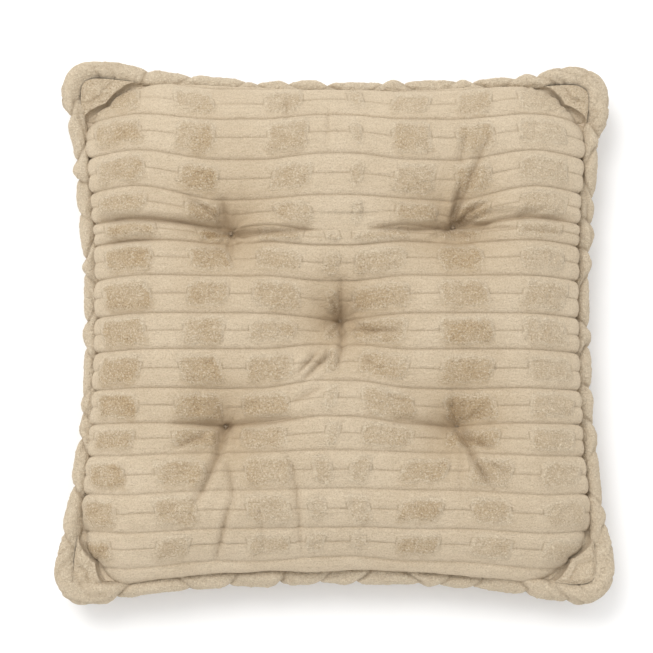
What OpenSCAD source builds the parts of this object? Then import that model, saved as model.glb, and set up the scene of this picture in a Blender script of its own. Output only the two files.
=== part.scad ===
// Square tufted chair pad with a fat corded edge, lying on its flat underside.
// Millimetres. Origin on the underside at the middle of the pad, +Z up, +Y towards the back edge.

/* [Overall size] */
// Width over the edge roll, corner to corner
pad_w = 450; // [420:5:480]
// Depth over the edge roll, corner to corner
pad_d = 442; // [420:2:480]
// Height of the crown above the surface that the pad lies on
pad_h = 88; // [82:1:96]
// Height of the seam that joins the two covers
seam_z = 34; // [31:1:37]
// How far the left and right sides pull in at their middles
pull_x = 26; // [10:1:28]
// How far the front and back sides pull in at their middles
pull_y = 21; // [10:1:28]
// Corner radius of the seam
corner_r = 15; // [13:1:20]

/* [Covers] */
// Thickness of the plush cover, pile pressed down
cover_t = 3; // [2:0.5:4]
// Share of each diagonal that stays unfilled as a flat ear
ear = 0.11; // [0.06:0.01:0.14]

/* [Edge roll] */
// Diameter of the edge roll
roll_d = 14; // [12:0.5:16]
// Wall of the plush sleeve round the cord
sleeve_t = 2.4; // [2:0.1:3]
// Width of the sleeve's flange, sewn between the covers
flange_w = 9; // [6:1:10]
// Thickness of the flange
flange_t = 1.2; // [1:0.1:1.5]

/* [Tufts] */
// Spacing of the outer tufts from left to right
tuft_x = 184; // [170:2:190]
// Spacing of the outer tufts from front to back
tuft_y = 160; // [150:2:170]
// How far the tufting pattern sits right of the middle
tuft_shift = 5; // [0:1:6]
// How far the centre tuft sits behind the middle
centre_shift = 5; // [0:1:8]
// Height of the floor of each pit in the top
pit_z = 40; // [38:1:44]
// Height of the floor of each dimple in the underside
dimple_z = 15; // [12:1:18]
// Radius of the pit floor
pit_r = 6; // [5:0.5:7]
// Diameter of the tufting twine
twine_d = 1.6; // [1.2:0.1:1.8]

/* [Fill] */
// Thickness of the firm fibre core
core_t = 30; // [26:1:34]
// Gap left between neighbouring soft pieces
gap = 0.4; // [0.3:0.1:0.6]

/* [Trim] */
// Length of the hand-sewn closing at the back edge
closing_l = 130; // [100:10:160]
// Width of the blank care label
label_w = 24; // [20:1:30]
// Length of the folded care label
label_l = 18; // [12:1:20]

/* [Hidden] */

plush = [0.83, 0.75, 0.63];
backing = [0.78, 0.70, 0.58];
fibre = [0.96, 0.95, 0.92];
cord_white = [0.93, 0.91, 0.86];
thread = [0.72, 0.63, 0.50];

// Seam outline
arc_steps = 6;
side_steps = 11;
roll_r = roll_d / 2;
half_w = pad_w / 2 - roll_d;
half_d = pad_d / 2 - roll_d;

// Covers and fill
rim = flange_t / 2 + 0.15;                 // from the seam plane to each cover's rim
ring_r = [0.22, 0.42, 0.58, 0.7, 0.8, 0.875, 0.93, 0.97, 1];
fill_edge = 0.93;                          // the fill stops here, as a share of the filled outline
core_edge = 0.84;
core_z = 20;
rim_t = cover_t + 0.6;                     // height of each cover's rim, with the slit inside the ears
top_rise = pad_h - seam_z - rim - rim_t;   // of the top cover over its rim
under_drop = seam_z - rim - rim_t;         // of the bottom cover below its rim
flat_share = 1.25;                         // above 1, it flattens the underside

// Tuft pits are cones that widen this much for each millimetre of height
pit_slope = 0.75;
dimple_slope = 1.4;
rim_share = 0.98;                          // of the seam outline, where the rim ends and the hollow begins
twine_hole_d = 6;
clear = 1.5;                               // by which cutting shapes pass the surfaces that they cut

// Stitches
stitch_r = 0.35;
stitch_out = 0.8;                          // outside the covers' rim
stitch_down = rim + cover_t + 0.6;         // below the seam plane

label_t = 0.14;                            // one layer of ribbon
label_fold = 0.1;                          // between its two layers
label_out = 0.05;                          // outside the covers' rim
label_top = rim + 2.4;                     // below the seam plane
label_segment = arc_steps + 3;             // of the seam, near the right end of the back edge

tufts = [
    [tuft_shift, centre_shift],
    [tuft_shift - tuft_x / 2, tuft_y / 2],
    [tuft_shift + tuft_x / 2, tuft_y / 2],
    [tuft_shift - tuft_x / 2, -tuft_y / 2],
    [tuft_shift + tuft_x / 2, -tuft_y / 2]
];

// ---- Seam outline: a rounded rectangle whose sides pull in between its corners ----

corner_signs = [[1, 1], [-1, 1], [-1, -1], [1, -1]];

function corner_point(k, step) =
    let (a = 90 * (k + step / arc_steps), s = corner_signs[k % 4])
    [s.x * (half_w - corner_r) + corner_r * cos(a), s.y * (half_d - corner_r) + corner_r * sin(a)];

function pulled_in(p) = [
    p.x * (1 - pull_x / half_w * (1 - pow(p.y / half_d, 2))),
    p.y * (1 - pull_y / half_d * (1 - pow(p.x / half_w, 2)))
];

loose_seam = [
    for (k = [0:3])
        for (step = [0:arc_steps + side_steps - 1])
            pulled_in(step <= arc_steps
                ? corner_point(k, step)
                : let (f = (step - arc_steps) / side_steps)
                    corner_point(k, arc_steps) * (1 - f) + corner_point(k + 1, 0) * f)
];
// The rounded corners are stretched back out to the full width and depth
seam = [
    for (p = loose_seam)
        [p.x * half_w / max([for (q = loose_seam) q.x]), p.y * half_d / max([for (q = loose_seam) q.y])]
];
seam_n = len(seam);

function unit(v) = v / norm(v);
function outward(i) =
    let (d = unit(seam[(i + 1) % seam_n] - seam[(i + seam_n - 1) % seam_n]))
    [d.y, -d.x];
function seam_offset(i, out) = seam[i] + out * outward(i);

// ---- Soft surfaces: rings that shrink from the seam to the middle ----

// How near a seam point is to a diagonal, from 0 to 1
function diagonal(i) = pow(abs(sin(2 * atan2(seam[i].y, seam[i].x))), 8);

// Rise of the crown, from 1 in the middle to 0 at the rim and over the ears
function crown(s) = s >= 1 ? 0 : pow(1 - pow(s, 3.2), 0.62);

// A closed dome of rings. Each ring is at edge times ring_r of the filled outline, or of the whole outline.
// zs are the heights of the rings from the innermost to the rim, base_z is the flat side.
module dome(edge, filled, height, base_z) {
    spread = [for (i = [0:seam_n - 1]) filled ? 1 / (1 + ear * diagonal(i)) : 1];
    stretch = [for (i = [0:seam_n - 1]) filled ? 1 : 1 + ear * diagonal(i)];
    rings = [
        for (r = ring_r)
            for (i = [0:seam_n - 1])
                let (p = seam[i] * r * edge * spread[i])
                [p.x, p.y, height(r * edge * stretch[i])]
    ];
    rim_ring = [for (i = [0:seam_n - 1]) let (p = seam[i] * edge * spread[i]) [p.x, p.y, base_z]];
    last = len(ring_r);
    points = concat(rings, rim_ring, [[0, 0, height(0)], [0, 0, base_z]]);
    middle = len(points) - 2;
    upward = height(0) > base_z;
    faces = concat(
        [for (i = [0:seam_n - 1]) [middle, (i + 1) % seam_n, i]],
        [for (k = [0:last - 1], i = [0:seam_n - 1])
            let (j = (i + 1) % seam_n, a = k * seam_n, b = a + seam_n)
            [a + i, a + j, b + i]],
        [for (k = [0:last - 1], i = [0:seam_n - 1])
            let (j = (i + 1) % seam_n, a = k * seam_n, b = a + seam_n)
            [a + j, b + j, b + i]],
        [for (i = [0:seam_n - 1]) [last * seam_n + i, last * seam_n + (i + 1) % seam_n, middle + 1]]
    );
    flipped = [for (f = faces) [f[2], f[1], f[0]]];
    polyhedron(points = points, faces = upward ? faces : flipped);
}

// Space above the seam, inside the top cover's surface less in
module upper_space(edge, filled, in) {
    low = seam_z + rim;
    dome(edge, filled, function (s) low + rim_t - in + top_rise * crown(s), low);
}

// Space below the seam, inside the bottom cover's surface less in, cut flat where the pad lies
module lower_space(edge, filled, in) {
    high = seam_z - rim;
    intersection() {
        dome(edge, filled, function (s) high - rim_t + in - under_drop * flat_share * crown(s), high);
        translate([-pad_w, -pad_d, in]) cube([2 * pad_w, 2 * pad_d, seam_z]);
    }
}

// Pits in the top and dimples in the underside, each grown by out
module tuft_pits(out) {
    side = out / cos(atan(pit_slope));
    depth = pad_h + clear - pit_z;
    for (p = tufts)
        translate([p.x, p.y, pit_z - out])
            cylinder(
                r1 = pit_r + side - pit_slope * out,
                r2 = pit_r + side + pit_slope * depth,
                h = depth + out, $fn = 40
            );
}

module tuft_dimples(out) {
    side = out / cos(atan(dimple_slope));
    depth = dimple_z + clear;
    for (p = tufts)
        translate([p.x, p.y, -clear])
            cylinder(
                r1 = pit_r + side + dimple_slope * depth,
                r2 = pit_r + side - dimple_slope * out,
                h = depth + out, $fn = 40
            );
}

module twine_holes() {
    for (p = tufts)
        translate([p.x, p.y, -clear])
            cylinder(d = twine_hole_d, h = pad_h + 2 * clear, $fn = 32);
}

// ---- Covers ----

module top_cover() {
    color(plush)
        difference() {
            upper_space(1, false, 0);
            tuft_pits(0);
            difference() {
                translate([0, 0, -cover_t]) upper_space(rim_share, false, 0);
                tuft_pits(cover_t);
            }
            twine_holes();
        }
}

module bottom_cover() {
    color(backing)
        difference() {
            lower_space(1, false, 0);
            tuft_dimples(0);
            difference() {
                translate([0, 0, cover_t]) lower_space(rim_share, false, 0);
                tuft_dimples(cover_t);
            }
            twine_holes();
        }
}

// ---- Edge roll ----

// A closed ring swept along the seam. section holds [outwards, up] points from the seam's edge.
module seam_sweep(section) {
    m = len(section);
    points = [
        for (i = [0:seam_n - 1])
            for (q = section)
                let (p = seam_offset(i, q.x)) [p.x, p.y, seam_z + q.y]
    ];
    faces = [
        for (i = [0:seam_n - 1])
            for (k = [0:m - 1])
                let (a = i * m, b = (i + 1) % seam_n * m, l = (k + 1) % m)
                [a + k, a + l, b + l, b + k]
    ];
    polyhedron(points = points, faces = faces);
}

function roll_circle(r, steps) =
    [for (k = [0:steps - 1]) let (a = 360 * k / steps) [roll_r + r * cos(a), r * sin(a)]];

// The sleeve's section: a circle with the flange as a tail
function sleeve_section(steps) =
    let (
        open = asin(flange_t / 2 / roll_r),
        from = -180 + open,
        turn = 360 - 2 * open
    )
    concat(
        [for (k = [0:steps]) let (a = from + turn * k / steps)
            [roll_r + roll_r * cos(a), roll_r * sin(a)]],
        [[-flange_w, flange_t / 2], [-flange_w, -flange_t / 2]]
    );

module edge_roll_sleeve() {
    color(plush)
        difference() {
            seam_sweep(sleeve_section(12));
            seam_sweep(roll_circle(roll_r - sleeve_t, 10));
        }
}

module edge_roll_cord() {
    color(cord_white) seam_sweep(roll_circle(roll_r - sleeve_t - gap, 8));
}

// ---- Fill ----

module core_outline() {
    polygon([for (i = [0:seam_n - 1]) seam[i] * core_edge / (1 + ear * diagonal(i))]);
}

module core_space(out) {
    translate([0, 0, core_z - out])
        linear_extrude(core_t + 2 * out) offset(delta = out) core_outline();
}

module core_pad() {
    color(fibre)
        difference() {
            core_space(0);
            tuft_pits(cover_t + gap);
            tuft_dimples(cover_t + gap);
            twine_holes();
        }
}

module upper_batting() {
    color(fibre)
        difference() {
            upper_space(fill_edge, true, cover_t + gap);
            tuft_pits(cover_t + gap);
            core_space(gap);
            twine_holes();
        }
}

module lower_batting() {
    color(fibre)
        difference() {
            lower_space(fill_edge, true, cover_t + gap);
            tuft_dimples(cover_t + gap);
            core_space(gap);
            twine_holes();
        }
}

// ---- Tufting twine: two strands, a bar across the pit floor and a knot underneath ----

module twine_bar(z, l) {
    translate([-l / 2, 0, z]) rotate([0, 90, 0]) cylinder(d = twine_d, h = l, $fn = 16);
}

module tuft_twine(p) {
    strand_x = twine_d / 2 + 0.7;
    bar_l = 4 * twine_d;
    top_z = pit_z + twine_d / 2 + 0.1;
    low_z = dimple_z - twine_d / 2 - 0.1;
    color(thread)
        translate([p.x, p.y, 0]) {
            for (side = [-1, 1])
                translate([side * strand_x, 0, low_z])
                    cylinder(d = twine_d, h = top_z - low_z, $fn = 16);
            twine_bar(top_z, bar_l);
            twine_bar(low_z, bar_l);
            translate([0, 0, low_z - twine_d]) sphere(d = 2.6 * twine_d, $fn = 24);
        }
}

// ---- Sewing ----

// Puts its child at share f of the way along segment i, with X along the seam and -Y outwards
module at_seam(i, f, out, down) {
    a = seam[i];
    b = seam[(i + 1) % seam_n];
    p = a * (1 - f) + b * f;
    heading = atan2(b.y - a.y, b.x - a.x);
    translate([p.x, p.y, seam_z - down]) rotate([0, 0, heading]) translate([0, -out, 0]) children();
}

// One stitch lying in the groove under the seam
module stitch(i, f, l, tilt) {
    at_seam(i, f, stitch_out, stitch_down)
        rotate([0, 90 + tilt, 0]) cylinder(r = stitch_r, h = l, center = true, $fn = 16);
}

// True where a segment lies in the hand-closed stretch of the back edge
function in_closing(i) = seam[i].y > half_d / 2 && abs(seam[i].x) < closing_l / 2;

module perimeter_seam() {
    color(thread)
        for (i = [0:seam_n - 1])
            if (!in_closing(i)) {
                reach = norm(seam[(i + 1) % seam_n] - seam[i]);
                count = max(1, floor(reach / 6));
                for (k = [0:count - 1])
                    stitch(i, (k + 0.5) / count, min(4, 0.7 * reach / count), 0);
            }
}

module closing_stitches() {
    color(thread)
        for (i = [0:seam_n - 1])
            if (in_closing(i))
                for (k = [0:3])
                    stitch(i, (k + 0.5) / 4, 2.6, 9);
}

// ---- Care label: a blank ribbon, folded double, that hangs from the seam ----

module care_label() {
    inner = label_t + label_fold;
    color("white")
        at_seam(label_segment, 0.5, label_out, label_top + label_l)
            rotate([0, -90, 0])
                linear_extrude(label_w, center = true)
                    polygon([
                        [0, 0], [label_l, 0], [label_l, -label_t], [label_t, -label_t],
                        [label_t, -inner], [label_l, -inner], [label_l, -inner - label_t],
                        [0, -inner - label_t]
                    ]);
}

top_cover();
bottom_cover();
edge_roll_sleeve();
edge_roll_cord();
upper_batting();
core_pad();
lower_batting();
tuft_twine(tufts[0]);  // tuft_twine_centre
tuft_twine(tufts[1]);  // tuft_twine_rear_left
tuft_twine(tufts[2]);  // tuft_twine_rear_right
tuft_twine(tufts[3]);  // tuft_twine_front_left
tuft_twine(tufts[4]);  // tuft_twine_front_right
perimeter_seam();
closing_stitches();
care_label();
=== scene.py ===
"""Looks of a tufted plush chair seat pad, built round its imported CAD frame.

Shapes are worked out in millimetres and made in metres. A cover is a grid: u runs from left to right and
v from front to back, both from -1 to 1 at the seam.
"""
import math

import bpy
import numpy as np
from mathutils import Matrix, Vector


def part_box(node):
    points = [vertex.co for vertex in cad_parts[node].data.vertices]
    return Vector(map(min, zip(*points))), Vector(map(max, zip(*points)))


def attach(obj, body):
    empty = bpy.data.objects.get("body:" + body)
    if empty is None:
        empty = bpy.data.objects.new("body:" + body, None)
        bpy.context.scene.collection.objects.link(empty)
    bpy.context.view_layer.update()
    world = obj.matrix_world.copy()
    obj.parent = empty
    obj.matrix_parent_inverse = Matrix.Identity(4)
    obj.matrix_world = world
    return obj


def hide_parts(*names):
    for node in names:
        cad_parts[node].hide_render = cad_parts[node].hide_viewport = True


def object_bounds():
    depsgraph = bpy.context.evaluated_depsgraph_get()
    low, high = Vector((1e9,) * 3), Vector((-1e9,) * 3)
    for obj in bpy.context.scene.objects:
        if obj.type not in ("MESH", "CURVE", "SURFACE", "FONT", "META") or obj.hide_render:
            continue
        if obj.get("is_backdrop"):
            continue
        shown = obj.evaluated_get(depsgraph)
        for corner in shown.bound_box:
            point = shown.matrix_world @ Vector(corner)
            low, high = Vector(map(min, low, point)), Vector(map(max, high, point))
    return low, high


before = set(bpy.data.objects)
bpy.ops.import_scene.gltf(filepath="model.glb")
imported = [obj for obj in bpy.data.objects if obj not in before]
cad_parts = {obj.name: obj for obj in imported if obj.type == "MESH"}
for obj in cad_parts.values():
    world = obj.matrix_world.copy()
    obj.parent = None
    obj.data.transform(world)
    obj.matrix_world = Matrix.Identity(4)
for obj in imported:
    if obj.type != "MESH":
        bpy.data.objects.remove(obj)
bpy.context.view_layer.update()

MM = 0.001


# ---- Sizes that come from the frame ----

def node_box(node):
    """A node's lowest and highest corners, in millimetres."""
    low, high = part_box(node)
    return np.array(low) / MM, np.array(high) / MM


cover_low, cover_high = node_box("top_cover")
roll_low, roll_high = node_box("edge_roll_sleeve")
HALF_W = (cover_high[0] - cover_low[0]) / 2
HALF_D = (cover_high[1] - cover_low[1]) / 2
PAD_H = cover_high[2]
SEAM_Z = (roll_low[2] + roll_high[2]) / 2
ROLL_R = (roll_high[2] - roll_low[2]) / 2
TUFT_NAMES = ("centre", "rear_left", "rear_right", "front_left", "front_right")

# ---- Shape of the covers ----

RIM = 0.75               # half the thickness of the seam
CROWN_GAP = 3.0          # room over the crown for the rows and blocks
PULL_LEFT, PULL_RIGHT = 22.0, 18.0        # how far each side pulls in between the corners
PULL_FRONT, PULL_REAR = 17.0, 15.0
REACH_LEFT, REACH_RIGHT = 0.993, 0.983    # this pad's corners fall a little short of square
REAR_SHORT, REAR_SKEW = 2.0, 3.0
CORNER_POWER = 22.0      # how square the seam's corners are
EARS = {                 # unfilled ears: how far each reaches along x and along y from its corner
    (-1, 1): (50.0, 37.0), (1, 1): (41.0, 38.0), (-1, -1): (28.0, 43.0), (1, -1): (39.0, 40.0),
}
EAR_RISE = 7.0           # the ears lie nearly as high as the edge roll
ROUND_POWER, EDGE_POWER = 3, 16           # outline of the crown in its middle and near its edge
CROWN_FLAT, CROWN_STEEP = 3.2, 0.55       # how flat its middle is and how steeply its edge falls
BULGE = 5.0              # how far the filled panel leans out over the seam
BULGE_AT = 6.3           # how far inside the seam it leans out most
PIT_FLOORS = {           # height of the bottom of each pit
    "centre": 43.0, "rear_left": 45.0, "rear_right": 44.0, "front_left": 53.0, "front_right": 47.0,
}
PIT_CONE, PIT_SLOPE = 13.0, 46.0          # radii of a pit's sharp cone and of the wide slope round it
DIMPLE_H, DIMPLE_R = 14.0, 15.0           # dimples of the underside at the ties

# Tufts as tied by hand, a few millimetres off the frame's own places
HAND_TIED = {
    "centre": (-1.5, 0.0), "rear_left": (2.0, -4.0), "rear_right": (-2.0, 1.0),
    "front_left": (-1.0, -2.0), "front_right": (0.0, -1.0),
}
TUFTS = {}
for tuft in TUFT_NAMES:
    low, high = node_box(f"tuft_twine_{tuft}")
    TUFTS[tuft] = tuple((low + high)[:2] / 2 + HAND_TIED[tuft])

# Lines between the rows, front to back: at the sides, in line with the tufts, and in the middle
LINES_SIDE = (-195, -168, -138, -107, -81, -53, -22, 7, 38, 67, 86, 112, 142, 174)
LINES_TUFT = (-190, -165, -135, -105, -82, -54, -23, 6, 37, 65, 79, 100, 132, 167)
LINES_MIDDLE = (-186, -164, -134, -104, -77, -48, -18, 4, 33, 61, 73, 102, 137, 172)
ROW_PITCH = 30.0         # distance between lines, for the rows next to the front and rear seams

# Fuzzy blocks in a zone of rows: their left and right ends in the zone's front row, the same in its rear
# row, and how dark the painted shade in their pile is
FRONT_BLOCKS = (
    (-204, -178, -194, -169, 1.0), (-143, -115, -141, -104, 0.75), (-69, -37, -70, -36, 0.5),
    (-24, -10, -18, -4, 0.3), (11, 24, 12, 27, 0.3), (48, 82, 53, 88, 0.7),
    (107, 139, 107, 140, 0.6), (165, 200, 164, 194, 0.4),
)
MIDDLE_BLOCKS = (
    (-190, -159, -184, -144, 1.0), (-130, -94, -113, -84, 0.7), (-74, -38, -60, -26, 0.5),
    (-9, 2, -8, 2, 0.3), (22, 59, 14, 56, 0.6), (86, 130, 82, 118, 0.75), (156, 190, 146, 181, 0.35),
)
REAR_BLOCKS = (
    (-189, -152, -203, -163, 0.8), (-123, -95, -134, -100, 0.7), (-47, -18, -60, -30, 0.55),
    (13, 21, 11, 21, 0.35), (48, 79, 43, 74, 0.5), (95, 126, 98, 127, 0.5), (148, 186, 151, 187, 0.35),
)
# Each zone's blocks and its first and last rows
ZONES = ((FRONT_BLOCKS, 1, 3), (MIDDLE_BLOCKS, 4, 10), (REAR_BLOCKS, 11, 15))


def smooth(x, low, high):
    """Smooth step from 0 at low to 1 at high."""
    t = np.clip((x - low) / (high - low), 0, 1)
    return t * t * (3 - 2 * t)


def hump(x, width, power=2.0):
    """Bell curve that is 1 at 0 and falls to 1/e at the width."""
    return np.exp(-(abs(x) / width) ** power)


NOISE_CELLS = 64         # random values along each side of the table, which repeats
NOISE_SHIFT = (1000.37, 1000.71)


def value_noise(x, y, size, seed):
    """Smooth noise from -1 to 1, with features about size across."""
    n = NOISE_CELLS
    table = np.random.default_rng(seed).uniform(-1, 1, (n, n))
    gx, gy = x / size + NOISE_SHIFT[0], y / size + NOISE_SHIFT[1]
    ix, iy = np.floor(gx).astype(int), np.floor(gy).astype(int)
    fx, fy = gx - ix, gy - iy
    fx, fy = fx * fx * (3 - 2 * fx), fy * fy * (3 - 2 * fy)
    a, b = table[ix % n, iy % n], table[(ix + 1) % n, iy % n]
    c, d = table[ix % n, (iy + 1) % n], table[(ix + 1) % n, (iy + 1) % n]
    return (a * (1 - fx) + b * fx) * (1 - fy) + (c * (1 - fx) + d * fx) * fy


def layered_noise(x, y, layers):
    """Sum of layers of noise, each given by its amount, size and seed."""
    return sum(amount * value_noise(x, y, size, seed) for amount, size, seed in layers)


def plan_raw(u, v):
    """The plan before it is fitted to the frame's size."""
    m = np.maximum(abs(u), abs(v))
    s = (abs(u) ** CORNER_POWER + abs(v) ** CORNER_POWER) ** (1 / CORNER_POWER)
    k = 1 - (1 - m / np.maximum(s, 1e-9)) * m ** 8
    a, b = u * k, v * k
    pull_x = np.where(a < 0, PULL_LEFT, PULL_RIGHT)
    pull_y = np.where(b < 0, PULL_FRONT, PULL_REAR)
    x = HALF_W * a - pull_x * a * abs(a) ** 3 * (1 - b * b)
    y = HALF_D * b - pull_y * b * abs(b) ** 3 * (1 - a * a)
    return x, y


def plan(u, v):
    """Place on the plan, in millimetres, of a point of a cover."""
    x, y = plan_raw(u, v)
    x = x * FIT_X * np.where(u < 0, REACH_LEFT, REACH_RIGHT)
    y = y * FIT_Y - (REAR_SHORT + REAR_SKEW * u) * np.clip(v, 0, 1) ** 8
    return x, y


side = np.linspace(0, 1, 200)
FIT_X = HALF_W / plan_raw(np.ones(200), side)[0].max()
FIT_Y = HALF_D / plan_raw(side, np.ones(200))[1].max()


def rims(u, v):
    """Distances in millimetres to the left or right seam, to the front or rear seam and to an ear's crease,
    and the crease's outward direction.
    """
    across, along = (1 - abs(u)) * HALF_W, (1 - abs(v)) * HALF_D
    reach_x, reach_y = np.ones_like(u), np.ones_like(u)
    for (sx, sy), (ear_x, ear_y) in EARS.items():
        here = (np.where(u < 0, -1, 1) == sx) & (np.where(v < 0, -1, 1) == sy)
        reach_x, reach_y = np.where(here, ear_x, reach_x), np.where(here, ear_y, reach_y)
    steep = np.hypot(1 / reach_x, 1 / reach_y)
    crease = (across / reach_x + along / reach_y - 1) / steep
    return across, along, crease, np.sign(u) / reach_x / steep, np.sign(v) / reach_y / steep


def crown(u, v):
    """Rise of the filled pad, from 1 in the middle to 0 at the seam and over the ears."""
    cut = np.clip(1 - rims(u, v)[2] / HALF_W, 0, None)
    edge = (abs(u) ** EDGE_POWER + abs(v) ** EDGE_POWER + cut ** EDGE_POWER) ** (1 / EDGE_POWER)
    middle = (abs(u) ** ROUND_POWER + abs(v) ** ROUND_POWER) ** (1 / ROUND_POWER)
    w = smooth(edge, 0.45, 1.0)
    s = np.clip(middle * (1 - w) + edge * w, 0, 1)
    return (1 - s ** CROWN_FLAT) ** CROWN_STEEP


def pit(x, y, cusp, places=TUFT_NAMES):
    """Depth of the pits, 1 at a tuft and 0 far from all of them. cusp is the share that is a sharp cone."""
    total = np.zeros_like(x)
    for tx, ty in (TUFTS[place] for place in places):
        r = np.hypot(x - tx, y - ty)
        slope = (1 - cusp) * np.exp(-(r / PIT_SLOPE) ** 1.5)
        total = np.maximum(total, cusp * np.exp(-r / PIT_CONE) + slope)
    return total


def top_form(u, v, lean_out=0.0):
    """Smooth form of the top cover. lean_out is how far its sides lean out over the seam."""
    x, y = plan(u, v)
    across, along, crease, out_x, out_y = rims(u, v)
    from_seam = np.minimum(across, along)
    high = PAD_H - CROWN_GAP - (SEAM_Z + RIM)
    z = SEAM_Z + RIM + high * crown(u, v)
    z = z + EAR_RISE * smooth(-crease, -2, 1.5) * (0.7 + 0.3 * smooth(from_seam, 0, 3))
    for place in TUFT_NAMES:
        depth = pit(x, y, 0.55, [place])
        z = z * (1 - depth) + np.minimum(z, PIT_FLOORS[place]) * depth
    filled = smooth(crease, -2, 22)
    for_x, for_y = across / BULGE_AT, along / BULGE_AT
    x = x + np.sign(u) * lean_out * filled * for_x ** 2 * np.exp(2 - 2 * for_x)
    y = y + np.sign(v) * lean_out * filled * for_y ** 2 * np.exp(2 - 2 * for_y)
    cut = np.clip(crease, 0, None) / BULGE_AT
    over_ear = 0.3 * lean_out * cut ** 2 * np.exp(2 - 2 * cut) * smooth(from_seam, 0, 8)
    x, y = x + out_x * over_ear, y + out_y * over_ear
    return np.stack([x, y, z], -1)


def bottom_form(u, v):
    """Smooth form of the bottom cover, which lies flat in its middle."""
    x, y = plan(u, v)
    drop = SEAM_Z - RIM
    z = np.maximum(drop - drop * 1.25 * crown(u, v), 0)
    for tx, ty in TUFTS.values():
        r = np.hypot(x - tx, y - ty)
        z = np.maximum(z, DIMPLE_H * np.exp(-(r / DIMPLE_R) ** 1.3) - 0.4)
    return np.stack([x, y, z], -1)


# ---- Cloth simulation of both covers on a coarse grid ----

COARSE = 61              # points along each side of the coarse grid
MOST_SWELL = 9.0         # limit on how far a point moves
PIN_R = 7.0              # the twine holds the cloth within this distance of a tuft
CUT_LARGER = 1.05        # the cloth is cut this much larger than the form it starts from
FILL_PRESSURE = 4
SIM_FRAMES = 24


def edge_dense(n):
    """n places from -1 to 1, closer together near the ends."""
    t = np.linspace(-1, 1, n)
    return t * (1.36 - 0.36 * t * t)


def grid_faces(index):
    """Faces of a grid of point numbers."""
    a, b = index[:-1, :-1].ravel(), index[1:, :-1].ravel()
    c, d = index[1:, 1:].ravel(), index[:-1, 1:].ravel()
    return np.stack([a, b, c, d], -1)


def mesh_of(name, points, faces):
    """A smooth-shaded object from points in millimetres."""
    mesh = bpy.data.meshes.new(name)
    mesh.from_pydata((np.asarray(points) * MM).tolist(), [], [list(map(int, f)) for f in faces])
    mesh.update()
    mesh.polygons.foreach_set("use_smooth", [True] * len(mesh.polygons))
    obj = bpy.data.objects.new(name, mesh)
    bpy.context.scene.collection.objects.link(obj)
    return obj


def closed_pad(top, bottom):
    """Points and faces of both covers joined at the seam, and the point numbers of each cover's grid."""
    top_index = np.arange(COARSE * COARSE).reshape(COARSE, COARSE)
    bottom_index = top_index + COARSE * COARSE
    for rim in (np.s_[0, :], np.s_[-1, :], np.s_[:, 0], np.s_[:, -1]):
        bottom_index[rim] = top_index[rim]
    used = np.unique(np.concatenate([top_index.ravel(), bottom_index.ravel()]))
    number = np.zeros(2 * COARSE * COARSE, int)
    number[used] = np.arange(len(used))
    points = np.concatenate([top.reshape(-1, 3), bottom.reshape(-1, 3)])[used]
    top_index, bottom_index = number[top_index], number[bottom_index]
    faces = np.concatenate([grid_faces(top_index), grid_faces(bottom_index)[:, ::-1]])
    return points, faces, top_index, bottom_index


def sewn_points(top, bottom, top_index, bottom_index):
    """Numbers of the points that the seam and the tufts hold."""
    pins = set(top_index[0]) | set(top_index[-1]) | set(top_index[:, 0]) | set(top_index[:, -1])
    for tx, ty in TUFTS.values():
        for form, index in ((top, top_index), (bottom, bottom_index)):
            r = np.hypot(form[..., 0] - tx, form[..., 1] - ty)
            pins |= set(index[r < PIN_R])
    return sorted(int(i) for i in pins)


def add_cloth(obj, points, pins):
    """Cloth held at the pins and pressed out by the fill, without gravity."""
    obj.vertex_groups.new(name="sewn").add(pins, 1.0, "REPLACE")
    obj.shape_key_add(name="Basis")
    cut = obj.shape_key_add(name="cut_size")
    cut.data.foreach_set("co", (points * MM * CUT_LARGER).ravel())
    cut.value = 0
    mod = obj.modifiers.new("fill_pressure", "CLOTH")
    s = mod.settings
    s.quality = 5
    s.mass = 0.3
    s.tension_stiffness = s.compression_stiffness = 25
    s.shear_stiffness = 8
    s.bending_stiffness = 0.6
    s.tension_damping = s.compression_damping = 15
    s.air_damping = 3
    s.vertex_group_mass = "sewn"
    s.pin_stiffness = 1
    s.rest_shape_key = cut
    s.use_pressure = True
    s.uniform_pressure_force = FILL_PRESSURE
    s.effector_weights.gravity = 0
    mod.point_cache.frame_start = 1
    mod.point_cache.frame_end = SIM_FRAMES


def simulate_swelling():
    """How far the cloth of each cover moves when the fill presses it out, on the coarse grid."""
    t = edge_dense(COARSE)
    u, v = np.meshgrid(t, t, indexing="ij")
    top, bottom = top_form(u, v), bottom_form(u, v)
    points, faces, top_index, bottom_index = closed_pad(top, bottom)
    cloth = mesh_of("cloth", points, faces)
    add_cloth(cloth, points, sewn_points(top, bottom, top_index, bottom_index))
    scene = bpy.context.scene
    for frame_number in range(1, SIM_FRAMES + 1):
        scene.frame_set(frame_number)
    result = cloth.evaluated_get(bpy.context.evaluated_depsgraph_get())
    moved = np.zeros(points.size)
    result.data.vertices.foreach_get("co", moved)
    moved = moved.reshape(-1, 3) / MM - points
    scene.frame_set(1)
    bpy.data.objects.remove(cloth)

    length = np.linalg.norm(moved, axis=1, keepdims=True)
    moved *= MOST_SWELL * np.tanh(length / MOST_SWELL) / np.maximum(length, 1e-6)
    return moved[top_index], moved[bottom_index]


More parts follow.
